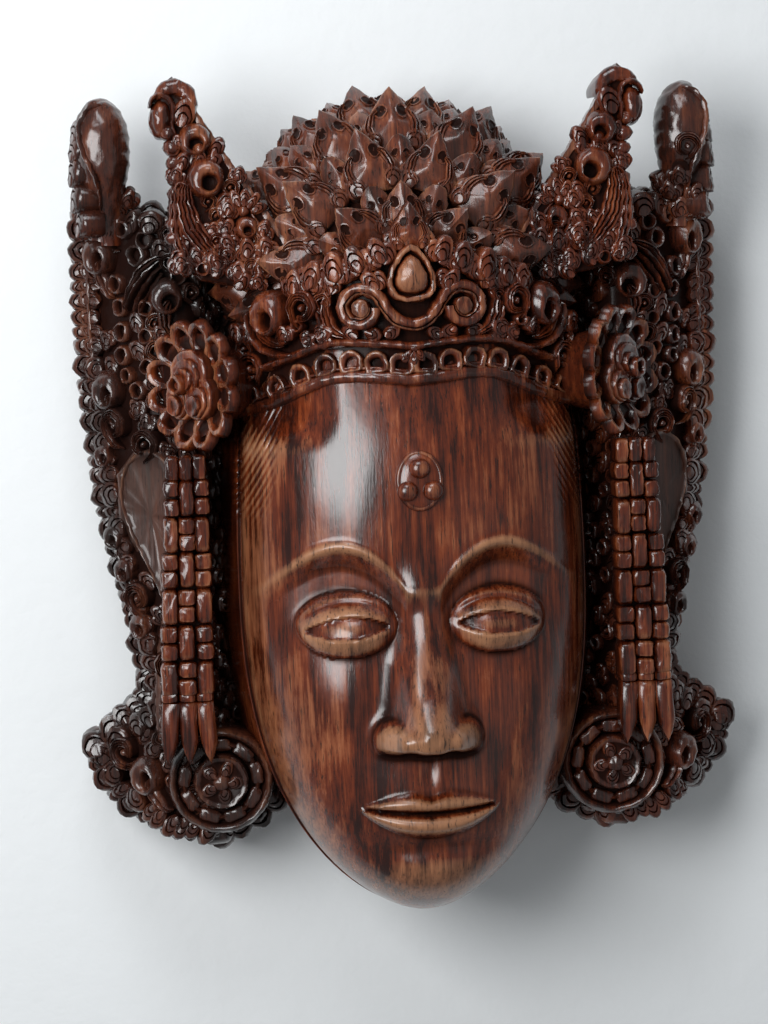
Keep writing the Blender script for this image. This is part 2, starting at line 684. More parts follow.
def folded(form, width, length, fold):
    """A form bent along its middle like a roof, from its foot to its tip."""
    verts, quads, tris, age = form
    x, y, z = verts.T
    z = z + fold * (1 - np.abs(x) / (0.5 * width)) * smooth(-0.1, 0.35, y / length)
    return np.column_stack([x, y, z]), quads, tris, age


def crown_leaf(width, length, fold, pointed=True):
    """A three-cornered leaf of the crown, with a fluted curl and a drilled hole on each half."""
    if pointed:
        right = [(0.30, 0), (0.42, 0.10), (0.50, 0.30), (0.44, 0.44), (0.30, 0.62), (0.16, 0.82), (0, 1)]
    else:
        right = [(0.30, 0), (0.46, 0.15), (0.50, 0.36), (0.42, 0.50), (0.40, 0.68), (0.30, 0.86),
                 (0.16, 0.97), (0, 1)]
    right = even(np.array(right) * (width, length), 16)
    outline = np.vstack([right, right[-2:0:-1] * (-1, 1)])
    rings = [(1, -4.5, 0.9), (1, -0.3, 0.2), (0.985, 0.3, -0.7), (0.93, 0.45, -0.2), (0.6, 0.5, 0),
             (0.2, 0.5, 0)]
    hole_rings = [(1, -0.2, 0.5), (1, 0.95, 0.2), (0.84, 1.05, -0.3), (0.74, 0.66, 1), (0.3, 0.62, 1)]
    hole = stamp(oval(0.20 * width, 0.26 * width, 12), hole_rings)
    parts = [stamp(outline, rings, (0, 0.42 * length))]
    for side in (1, -1):
        path = arc(side * 0.17 * width, 0.36 * length, 0.17 * width, 90 - side * 170, 90 - side * 5, 16, 1.5)
        parts.append(ribbon(path[::side], swell(0.085 * width, 0.35, 0.55), fluted(3), 0.085 * width, 0.15))
        parts.append(moved(hole, side * 0.15 * width, 0.60 * length))
        if pointed:
            ear = lobe(0.30 * width, 0.34 * length)
            parts.append(moved(ear, side * 0.32 * width, 0.16 * length, 0.3, -side * 30))
    return folded(merge(*parts), width, length, fold)


def inside(outline, x, y):
    x0, y0 = np.asarray(outline, float).T
    x1, y1 = np.roll(x0, -1), np.roll(y0, -1)
    crossed = ((y0 > y) != (y1 > y)) & (x < (x1 - x0) * (y - y0) / np.where(y1 == y0, 1e-9, y1 - y0) + x0)
    return crossed.sum() % 2 == 1


def fill(piece, surface, outline, taken, xs, ys, size, turn_of, crowd, avoid=()):
    """Small leaves and curls on every spot of a slanted grid that nothing else has taken."""
    for row, y in enumerate(ys, 1):
        for x in xs + 0.5 * (xs[1] - xs[0]) * (row % 2):
            if not inside(outline, x, y) or any(inside(hole, x, y) for hole in avoid):
                continue
            if min(math.hypot(x - tx, y - ty) - r for tx, ty, r in taken) < crowd:
                continue
            kind = rng.integers(0, 4)
            turn = turn_of(x, y) + float(rng.normal(0, 14))
            lift = float(rng.uniform(-0.3, 1.2))
            if kind == 0:
                leaf = frond(0.40 * size, 1.5, 1)
                piece.put(leaf, surface, x, y, turn, lift, 4, 1.1, hand=float(rng.choice([-1, 1])))
            elif kind == 1:
                piece.put(drilled(0.95 * size), surface, x, y, turn, lift, 4, 1.4)
            elif kind == 2:
                piece.put(trefoil(1.05 * size), surface, x, y - 0.3 * size, turn, lift, 6)
            else:
                piece.put(lobe(0.95 * size, 1.25 * size), surface, x, y, turn, lift, 8)


# Head, hollow and back

SIDE_POINTS = 8  # points down each side of the head


def arch_rows(levels, shares, depth, inset):
    """Rows of points over the head and down both its sides to the back, one at each level."""
    rows = []
    down = np.linspace(0, 1, SIDE_POINTS + 1)[1:]
    for y in levels:
        wide = float(half_width(y)) + 1.0 - inset
        under = float(smooth(CHEEK_Y - 60, CHIN_Y, y))
        flare = (13 * (1 - under) - 10 * under) / HALF_FACE
        front_z = depth(shares * (wide + inset) * 0.999, np.full(len(shares), y)) - inset
        front = np.column_stack([shares * wide, np.full(len(shares), y), front_z])
        right = np.column_stack([(1 + flare * down) * wide, y + 24 * under * down, front_z[-1] * (1 - down)])
        rows.append(np.vstack([(right * (-1, 1, 1))[::-1], front, right]))
    return np.array(rows)


def averaged(height, reach=30):
    """Heights averaged over reach samples in both directions, twice."""
    for _ in range(4):
        run = np.cumsum(np.pad(height, [(reach // 2 + 1, reach // 2), (0, 0)], mode="edge"), axis=0)
        height = ((run[reach:] - run[:-reach])[: len(height)] / reach).T
    return height


def head_tone(rows):
    """Dark in the cuts, and worn where the face stands out from what is round it."""
    height = rows[:, SIDE_POINTS:-SIDE_POINTS, 2]
    around = height.copy()
    for _ in range(14):
        across = around[1:-1, :-2] + around[1:-1, 2:]
        around[1:-1, 1:-1] = 0.25 * (around[:-2, 1:-1] + around[2:, 1:-1] + across)
    cut = np.clip((around - height) * 0.9, -0.5, 1.0)
    tone = np.zeros(rows.shape[:2])
    tone[:, SIDE_POINTS:-SIDE_POINTS] = cut - np.clip((height - averaged(height)) * 0.18 - 0.10, 0, 0.45)
    tone[:, :SIDE_POINTS] = tone[:, -SIDE_POINTS:] = np.linspace(1, 0.2, SIDE_POINTS)
    return tone


def carve_hollow(piece):
    """The gouged hollow with its end walls; returns its points."""
    levels = np.linspace(CHIN_Y + WALL + 6, HOLLOW_TOP_Y, 60)
    inner = arch_rows(levels, np.linspace(-1, 1, 61), egg_depth, WALL)
    gouge = np.sin(inner[..., 0] * 0.55 + 1.5 * np.sin(inner[..., 1] * 0.09)) * np.sin(inner[..., 1] * 0.28)
    inner[:, SIDE_POINTS:-SIDE_POINTS, 2] -= 0.5 * np.abs(gouge[:, SIDE_POINTS:-SIDE_POINTS])
    piece.once(sheet(inner, 0.25, flip=True))
    steps = np.linspace(0, 1, 9)[:, None, None]
    for row in (inner[0], inner[-1]):
        foot = np.column_stack([row[:, 0], np.full(len(row), row[0, 1]), np.zeros(len(row))])
        piece.once(sheet(row * (1 - steps) + foot * steps, 0.3))
    return inner


def carve_back(piece, head, hollow):
    """The flat back between the rim of the head with the dome and the rim of the hollow."""
    turn = np.radians(np.linspace(-25, 90, 24))
    dome_rim = (0, DOME_MIDDLE[1]) + 54.7 * np.column_stack([np.cos(turn), np.sin(turn)])
    head_rim = head[::12, -1, :2]
    head_rim = head_rim[head_rim[:, 1] < 62]
    hollow_rim = hollow[:, -1, :2]
    outer = even(np.vstack([head_rim[:1] * (0, 1), head_rim, dome_rim]), 160)
    inner = even(np.vstack([hollow_rim[:1] * (0, 1), hollow_rim, hollow_rim[-1:] * (0, 1)]), 160)
    steps = np.linspace(0, 1, 12)[:, None, None]
    ring = outer * (1 - steps) + inner * steps
    piece.pair(sheet(np.concatenate([ring, np.zeros(ring.shape[:2] + (1,))], -1), 0.1))


def carve_head():
    piece = Piece("head", rub=1.0)
    share = np.linspace(-1, 1, 271)
    share = 0.75 * share + 0.25 * np.sin(share * math.pi / 2)
    levels = np.concatenate([np.linspace(CHIN_Y, CHIN_Y + 6, 16)[:-1], np.linspace(CHIN_Y + 6, 62, 262)])
    rows = arch_rows(levels, share, face_depth, 0.0)
    piece.once(sheet(rows, head_tone(rows)))
    carve_back(piece, rows, carve_hollow(piece))

    for x, y, wide in ((0, 4.2, 7.6), (4.4, -3.4, 7.4)):
        piece.put(bead(wide, wide * 0.95, 26), face_depth, x, ORNAMENT_Y + y, 0, 2.3, tall=1.6, loose=0.2)
    ring = (0, ORNAMENT_Y) + arc(0, 0, 1.0, 0, 360, 49) * (7.4, 9.6)
    piece.once(draw(face_depth, ring, 1.1, ROUND, 1.6, tapered=False))
    rim = [(1, -2, 0.5), (1, 1.0, 0.3), (0.9, 1.6, 0), (0.5, 2.2, 0.2)]
    piece.put(stamp(oval(14.6, 19.0, 40), rim), face_depth, 0, ORNAMENT_Y, loose=0)
    return piece


# Crown and tiara


def on_dome(polar, azimuth, lift, lean):
    """A seat on the dome: polar from its front, azimuth from the mask's up, its Y away from the front."""
    p, a = math.radians(polar), math.radians(azimuth)
    way = np.array([math.sin(p) * math.sin(a), math.sin(p) * math.cos(a), math.cos(p)])
    out = unit(way / DOME_RADII)
    around = np.array([math.cos(a), -math.sin(a), 0.0])
    along, tipped = rotated(np.cross(out, around), out, lean)
    return DOME_MIDDLE + way * DOME_RADII + lift * out, np.column_stack([around, along, tipped])


def carve_crown():
    piece = Piece("crown", dry=0.35, rub=0.7)
    away = np.radians(np.linspace(0, 109.4, 40))[:, None]
    turn = np.radians(np.linspace(-DOME_REACH, DOME_REACH, 70))
    way = np.stack([np.sin(away) * np.sin(turn), np.sin(away) * np.cos(turn), np.cos(away) + 0 * turn], -1)
    piece.once(sheet(DOME_MIDDLE + way * (DOME_RADII - 1.2), 0.9, flip=True))
    tiers = [(14, 8, 21, 20, 14), (30, 11, 22, 23, 16), (46, 14, 23, 23, 16), (61, 17, 21, 20, 15),
             (76, 19, 19, 15, 8), (90, 21, 17, 13, 0)]
    for tier, (polar, count, wide, length, lean) in enumerate(tiers):
        for k in range(count):
            azimuth = (360 * (k + 0.5 * (tier % 2)) / count + 180) % 360 - 180
            if abs(azimuth) > DOME_REACH:
                continue
            size = 1 + 0.05 * rng.normal()
            leaf = crown_leaf(wide * size, length * size, 6.0)
            piece.once(placed(leaf, *on_dome(polar + rng.normal(), azimuth + 1.5 * rng.normal(), 0.6, lean)))
            between = azimuth + 180 / count
            if abs(between) < DOME_REACH:
                small = crown_leaf(0.62 * wide, 0.80 * length, 3.4, pointed=False)
                piece.once(placed(small, *on_dome(polar + 3, between, -0.4, lean - 3)))
    return piece


def carve_band(piece):
    """Three mouldings along the band, and a row of arches between them."""
    xs = np.linspace(-60.5, 60.5, 81)
    low, top = band_low(np.abs(xs)), band_top(np.abs(xs))
    mouldings = ((low, 2.3, 2.6, -0.2), (low + 3.0, 0.55, 0.8, 0.4), (top + 0.6, 1.5, 3.2, 0.6))
    for ys, half, rise, lift in mouldings:
        piece.once(draw(band_depth, np.column_stack([xs, ys]), half, ROUND, rise, lift, 120, tapered=False))
    right = [(4.3, -3.4), (4.5, 0.6), (3.4, 3.4)]
    outline = [*right, (0, 4.6), *[(-x, y) for x, y in right[::-1]], (0, -3.8), right[0]]
    rings = [(1, -2.5, 1), (1, 0.8, 0.3), (0.95, 1.9, -0.8), (0.84, 2.2, -0.9), (0.68, 2.0, -0.1),
             (0.55, 1.5, 0.3), (0.46, 0.6, 0.9), (0.42, -2.4, 1), (0.3, -3.0, 1)]
    arch = stamp(fair(outline, 25)[:-1], rings, (0, -0.6))
    for k in range(7):
        x = 4.3 + 8.6 * k
        piece.put(arch, band_depth, x, float(band_low(x)) + 5.0, -0.55 * x, -0.4, loose=0.4)


def carve_scroll(piece):
    """The double scroll with its drop-shaped jewel, and a leaf above it."""
    sag = [(8.2, 74.6), (5.6, 71.6), (2.6, 70.2)]
    right = np.vstack([[(0, 69.8)], sag[::-1], curl(*SCROLL, 7.6, 4.6, 165, -0.96, 60)])
    section = [(-1, -4.5, 1), (-1, 0.3, 0.7), (-0.86, 0.85, -0.2), (-0.5, 1.15, -0.3), (-0.05, 1.2, -0.4),
               (0.35, 1.0, -0.2), (0.45, 0.5, 1), (0.55, 0.5, 1), (0.65, 0.9, -0.7), (0.85, 0.8, -0.6),
               (1, 0.3, 0.3), (1, -4.5, 1)]
    path = np.vstack([right[:0:-1] * (-1, 1), right])
    piece.once(draw(tiara_depth, path, 2.3, section, 2.6, 0.6, tapered=False))
    boss = [(1, -4, 1), (1, 2.2, 0.4), (0.93, 3.0, -0.8), (0.6, 3.3, -0.5), (0.2, 3.4, -0.4)]
    piece.put(stamp(oval(6.4, 6.4, 26), boss), tiara_depth, *SCROLL, loose=0)
    jewel = [(1, -4, 1), (1, 3.4, 0.4), (0.95, 4.8, -0.6), (0.86, 5.0, -0.8), (0.79, 4.6, -0.2),
             (0.75, 1.2, 1), (0.69, 1.0, 1), (0.66, 3.4, 0.3), (0.60, 5.4, -0.5), (0.45, 6.6, -0.6),
             (0.2, 7.2, -0.6)]
    piece.put(stamp(drop(17.2, 20.5), jewel, (0, 9.0)), tiara_depth, 0, 77.6, loose=0.2)
    piece.put(crown_leaf(15, 17, 3.0), tiara_depth, 0, 96, 0, 1.0, 10)


def carve_tiara():
    piece = Piece("tiara", dry=0.1, rub=0.6)
    low = [(x, float(band_low(abs(x)))) for x in range(-60, 61, 4)]
    right = [(62, 62), (54, 72), (46, 82), (34, 86), (22, 88), (13, 94), (6, 103), (0, 107)]
    left = [(-x, y) for x, y in right]
    outline = [(-x, y) for x, y in low] + left + right[-2::-1]
    piece.once(plate(outline[::-1], 30, 60, lowered(band_depth, 2.2), 3.0, 1.0, 1.0))
    carve_band(piece)
    carve_scroll(piece)
    for x, y, turn, size in (
        (4.2, 97.5, -8, 8.5), (9.8, 92, -24, 10.5), (11.5, 83, -40, 9.0), (17, 89, -18, 11),
        (25, 86, -10, 12), (33, 84, 12, 11), (38.5, 82, -4, 10), (57.5, 66, -30, 9), (58, 58.5, -60, 8),
        (31.5, 66.5, 60, 7.5), (36.5, 65.0, 60, 6.5),
    ):
        piece.put(trefoil(size), tiara_depth, x, y, turn, 1.0, 6)
    stem = [(22.5, 66.2), (27.0, 68.5), (29.0, 73.0), (29.3, 78.0), (27.6, 81.5)]
    piece.pair(draw(tiara_depth, stem, swell(2.4, 0.4), fluted(3), 2.4, 0.4))
    piece.pair(draw(tiara_depth, beside(fair(stem, 30), 3.0)[2:-4], swell(1.0, 0.3), ROUND, 2.0, 0.2))
    piece.put(crescent(14.5, 1.1, False), tiara_depth, 47.5, 75.5, 12, 0.8, 6)
    hook = [(54.6, 77.0), (55.2, 71.5), (53.8, 66.5), (50.4, 62.6), (45.6, 60.6), (39.5, 60.4)]
    piece.pair(draw(tiara_depth, hook, swell(1.5, 0.5), ROUND, 3.0, 0.8))
    piece.pair(draw(tiara_depth, beside(fair(hook, 30), 3.4)[2:-5], swell(2.2, 0.4), fluted(3), 2.4, 0.4))
    socket = [(1, -2, 1), (1, 1.6, 0.2), (0.86, 2.4, -0.5), (0.6, 2.0, 0.2), (0.5, -0.4, 1), (0.2, -0.6, 1)]
    piece.put(stamp(oval(5.2, 4.6, 18), socket), tiara_depth, 38.5, 70.5, 0, 0.2)
    piece.put(frond(4.4, 1.6, 2), tiara_depth, 36.5, 77.0, 25, 0.8, 4)
    piece.put(fan(7.0, 3, 70), tiara_depth, 0, 62.5, 180, 0.2, loose=0)
    for x, y, turn in ((7.6, 67.2, 60), (13.0, 67.0, 110), (22.0, 67.4, -60)):
        piece.put(lobe(5.0, 6.4), tiara_depth, x, y, turn, 0.2, 6)
    piece.put(frond(4.0, 1.4, 1), tiara_depth, 55, 56.5, -30, 0.5, 4, hand=-1)
    upper = [(x, y - 2) for x, y in left + right[-2::-1]]
    field = [(-61, 57), *upper, (61, 57), (24, 66), (0, 61), (-24, 66)]
    taken = [(0, 87, 13), (17.5, 76, 11), (0, 70, 12), (10, 62, 6), (15, 64, 4), (27, 62, 5), (47.5, 75.5, 8),
             (36.5, 77, 5), (28, 74, 4), (33, 67, 4), (38.5, 70.5, 3), (54, 70, 4), (48, 62, 4), (40, 60, 4),
             (51, 66, 3)]
    columns, rows = np.arange(3.2, 62, 6.0), np.arange(58, 104, 5.2)
    fill(piece, tiara_depth, field, taken, columns, rows, 6.6, lambda x, y: -0.6 * x, 0.4)
    return piece


# Rosettes, tassels and plugs


def rosette_centre():
    """Three stepped shells round a drilled button."""
    parts = []
    for x, y, turn, size in ((0, 4.6, 0, 19), (-5.0, -4.6, 118, 16), (5.0, -4.6, -118, 16)):
        for n in range(3):
            wide = size * (1 - 0.26 * n)
            z = 1.5 * n
            rings = [(1, -4, 1), (1, z + 0.6, 0.6), (0.93, z + 1.5, -0.8), (0.80, z + 1.6, -0.2),
                     (0.4, z + 1.0, 0.6)]
            parts.append(moved(stamp(oval(wide, wide * 0.9), rings), x, y - 1.2 * n, 0, turn))
    button = [(1, -3, 1), (1, 5.6, 0.4), (0.9, 6.8, -0.9), (0.66, 6.9, -0.5), (0.5, 5.8, 0.8), (0.42, 3.0, 1),
              (0.1, 2.6, 1)]
    return merge(*parts, moved(stamp(oval(7.5, 7.5), button), 1.5, 0.5))


def carve_rosettes():
    piece = Piece("rosettes")
    c, s = math.cos(ROSETTE_TILT), math.sin(ROSETTE_TILT)
    axes = np.column_stack([[c, 0, -s], [0, 1, 0], [s, 0, c]])
    cup = [(11.6, -30, 1), (12.6, -24, 0.8), (14.6, -12, 0.5), (17.0, -4, 0.5), (18.5, -2.4, 0.6),
           (16, -2.0, 1), (11, -4.5, 1), (0, -5.5, 1)]
    piece.pair(placed(lathe(cup, 48), ROSETTE, axes))
    rings = [(1, -3.0, 1), (1, 0.3, 0.1), (0.93, 1.1, -1), (0.72, 1.0, -0.6), (0.60, 0.3, 0.3),
             (0.50, -1.6, 1), (0.42, -3.4, 1), (0.2, -3.8, 1)]
    petal = stamp(oval(10.6, 15.0, 26, 0.10), rings, (0, 0.2))
    for k in range(12):
        side, radial, out = spun(-30 * (k + 0.5)).T
        along, out = rotated(radial, out, 20)
        spot = radial * 16.4 - (0, 0, 1.8)
        piece.pair(placed(petal, ROSETTE + axes @ spot, axes @ np.column_stack([side, along, out])))
    piece.pair(placed(rosette_centre(), ROSETTE, axes))
    return piece


def carve_tassels():
    piece = Piece("tassels")
    rib_rings = [(1, -34, 1), (1, -0.9, 1), (0.97, -0.3, 1), (0.90, 0, 1), (0.6, 0, 1)]
    rib_y = (TASSEL_TOP[1] + TASSEL_FOOT[1]) / 2 + 2
    piece.pair(placed(stamp(rounded_box(12.0, 88, 9.0), rib_rings), (81.0, rib_y, 62.0)))
    odd_row = [(0, y, 6.8, 6.0, 0.2) for y in (3.15, -3.15)] + [(x, 0, 6.2, 12.7, -0.2) for x in (6.5, -6.5)]
    even_row = [(0, 0, 6.2, 12.7, 0.3)] + [(x, y, 6.6, 6.1, 0) for x in (6.5, -6.5) for y in (3.2, -3.2)]
    for k in range(6):
        spot = TASSEL_TOP + (TASSEL_FOOT - TASSEL_TOP) * (k + 0.5) / 6
        slim = 0.84 + 0.032 * k
        for dx, dy, wide, high, lift in odd_row if k % 2 else even_row:
            nudge = rng.normal(0, 0.15, 3)
            piece.pair(placed(cell(wide * slim, high), spot + (dx * slim, dy, lift - 1.8) + nudge))
    for dx in (-5.8, 0, 5.8):
        piece.pair(placed(cell(6.2, 3.4), TASSEL_FOOT + (1.08 * dx, -0.4, -2.2)))
        piece.pair(placed(cell(4.9, 9.0), TASSEL_TOP + (0.84 * dx, 4.0, -2.0)))
    right = [(3.1, 0), (3.2, 8), (3.0, 15), (1.6, 19.4)]
    outline = [(-3.1, 0), *right, (0, 23), *[(-x, y) for x, y in right[:0:-1]]]
    rings = [(1, -8, 1), (1, -0.4, 0.4), (0.95, 0.6, -0.7), (0.6, 1.5, -0.1), (0.1, 1.9, -0.5)]
    leaf = stamp(outline, rings, (0, 9))
    for dx, turn in ((-5.4, -4), (5.4, 4), (0, 0)):
        piece.pair(placed(leaf, TASSEL_FOOT + (1.12 * dx, -2.0, -1.6), spun(180 + turn)))
    return piece


def carve_plugs():
    piece = Piece("plugs", dark=0.95, rub=0.4)
    face = [(19.4, -30, 1), (19.5, -8, 0.6), (19.2, -3.0, 0.1), (18.6, -0.8, -0.4), (17.6, 0.0, -0.8),
            (16.8, -0.4, -0.4), (16.2, -1.6, 0.7), (15.4, -4.2, 1), (14.6, -4.4, 1), (14.2, -2.0, 0.4),
            (13.4, -1.2, -0.5), (12.6, -2.0, 0.3), (12.0, -5.0, 1), (10.6, -5.2, 1), (10.0, -1.8, 0.6),
            (9.7, 1.6, -0.2), (9.1, 2.6, -0.7), (8.2, 2.4, -0.1), (7.4, 1.6, 0.9), (3.4, 1.4, 0.7),
            (2.8, 2.8, 0.2), (2.0, 3.4, -0.5), (0.0, 3.6, -0.7)]
    piece.pair(placed(lathe(face, 56), PLUG))
    block = stamp(rounded_box(8.0, 4.6, 4, 20), BEAD_RINGS)
    circles = ((block, 9, 0.0, 13.2, -1.9, 0.6), (lobe(4.8, 6.0), 5, 0.4, 5.4, 1.8, 0.9))
    for form, count, start, radius, z, tall in circles:
        for k in range(count):
            axes = spun(360 * k / count + math.degrees(start))
            piece.pair(placed(form, PLUG + axes @ (0, radius, z), axes, (1, 1, tall)))
    return piece


# Wings, ears and horns


def carve_wings():
    piece = Piece("wings", dark=0.95)
    taken = []
    rim, bumps = scalloped(WING_RIM, 6.2, 1.4)
    flare, flare_bumps = scalloped(FLARE_RIM, 6.8, 1.6)
    piece.pair(plate(np.vstack([WING_ROOT, rim, flare]), 8, 28, level(27.0), 6, 1.5, 1.0))
    piece.pair(plate(CREST, 12, 30, lowered(wing_depth, 1.0), 3.0, 1.2, 1.0))
    for x, y, turn, pitch in np.vstack([bumps, flare_bumps]):
        back = np.array([math.sin(math.radians(turn)), -math.cos(math.radians(turn))])
        piece.put(lobe(pitch * 1.15, 4.2 + 0.7 * pitch), wing_base, *((x, y) + 3.0 * back), turn, 0.3, -12)
        piece.put(bead(pitch, 8.6), wing_side, *((x, y) + 0.6 * back), turn, 0, -72, 0.9, loose=0.3)
        spot = (x, y) + (6.2 + 1.2 * rng.random()) * back
        piece.put(lobe(pitch * 1.2, 9.2), wing_depth, *spot, turn + 14, 0.8, 8, loose=1.6)
        taken.append((*spot, 3.8))
    for x, y, turn in ((99.8, -59.0, -80), (101.4, -63.2, -65), (104.8, -66.6, -50), (109.2, -69.6, -35)):
        piece.put(lobe(8.4, 9.4), wing_base, x - 3.0, y - 1.2, turn, 0.6, -8)
        piece.put(bead(7.0, 8.6), wing_side, x - 0.8, y - 0.6, turn, 0, -72, 0.9)
        piece.put(lobe(8.0, 9.0), wing_depth, x - 8.0, y - 3.0, turn, 0.6, 6)
        taken.append((x - 8.0, y - 3.0, 3.8))
    piece.pair(draw(level(29.5), [(112.0, 104), (112.6, 88), (112.4, 70), (111.4, 50)], 1.2, ROUND, 2.4))
    for x, y, size, turn in (
        (106.5, 99, 14.5, -8), (84.5, 83, 13.0, 6), (105.5, 50, 14.0, -8), (97.5, -91, 14, -30),
        (106, -4, 9, -20), (102.5, -16, 9, -20), (108.5, 26, 8.5, -12), (97.5, -36, 9.5, -20),
    ):
        piece.put(crescent(size, 1.15), wing_depth, x, y, turn, 1.0, 6, loose=0.5)
        taken += [(x, y, size * 0.52), (x - 0.25 * size, y - 0.7 * size, size * 0.33)]
    for x, y, size in (
        (94, 98.3, 8.6), (101, 88, 8), (100, 79.5, 7.8), (100, 71, 8.0), (100, 62.5, 7.6), (98.5, 55, 6.6),
        (95, 49.5, 7.4), (90.5, 45.5, 6.0), (91, 103.5, 7.0), (98, 107, 7.0),
    ):
        piece.put(drilled(size), wing_depth, x, y, 0, 0.6, tall=1.5)
        taken.append((x, y, size * 0.5))
    sickle = [(98.0, 78.5), (95.5, 86.0), (91.5, 93.0), (87.5, 96.8), (84.0, 96.0)]
    for gap, wide, ridges in ((0.0, 2.4, 3), (3.4, 1.1, 1), (5.6, 0.9, 1)):
        path = beside(fair(sickle, 34), -gap)
        piece.pair(draw(wing_depth, path, swell(wide, 0.3, 0.6), fluted(ridges), 2.6, 1.6))
    taken += [(92, 91, 4), (96, 83.5, 3)]
    for x, y, radius, turn, hand in (
        (103, 37, 4.6, -10, 1), (97, -26, 4.2, -25, 1), (88, -50, 4.2, -30, 1), (104.5, -83, 4.6, -70, 1),
        (72, 108, 4.4, 20, -1), (104, 107, 4.2, -30, 1), (93, 30, 4.0, 10, -1),
    ):
        piece.put(frond(radius, 1.9, 2), wing_depth, x, y, turn, 1.2, 5, 1.2, hand)
        taken += [(x, y, radius * 1.35), (x + 0.3 * radius, y - 1.2 * radius, 0.7 * radius)]
    columns, rows = np.arange(58, 112, 6.2), np.arange(-108, 116, 5.2)
    fill(piece, wing_depth, CREST, taken, columns, rows, 7.0,
         lambda x, y: -25 if y > 20 else -60 if y > -66 else -110, 0.9, (EAR_DISH,))
    return piece


def carve_ears():
    piece = Piece("ears", dry=0.9, dark=0.5)
    piece.pair(plate(EAR, 15, 30, ear_depth, 3.0, 1.6, 0.3))
    outline = even(EAR_DISH + EAR_DISH[:1], 73)[:-1][::-1]
    for _ in range(3):
        outline = 0.25 * np.roll(outline, 1, 0) + 0.5 * outline + 0.25 * np.roll(outline, -1, 0)
    dish = [(1, -8, 0.6), (1, 1.4, 0.2), (0.975, 2.2, -0.9), (0.95, 2.0, -0.6), (0.92, 1.0, 0.5),
            (0.75, 0.7, 0.25), (0.45, 0.6, 0.2), (0.2, 0.5, 0.2)]
    piece.put(stamp(outline - EAR_MIDDLE, dish), lobe_depth, *EAR_MIDDLE, loose=0)
    strip = [(88.0, -26), (89.5, -38), (91.5, -52), (92.5, -66), (92.0, -80)]
    piece.pair(draw(wing_depth, strip, swell(2.6, 0.7), ROUND, 2.2, 0.6))
    return piece


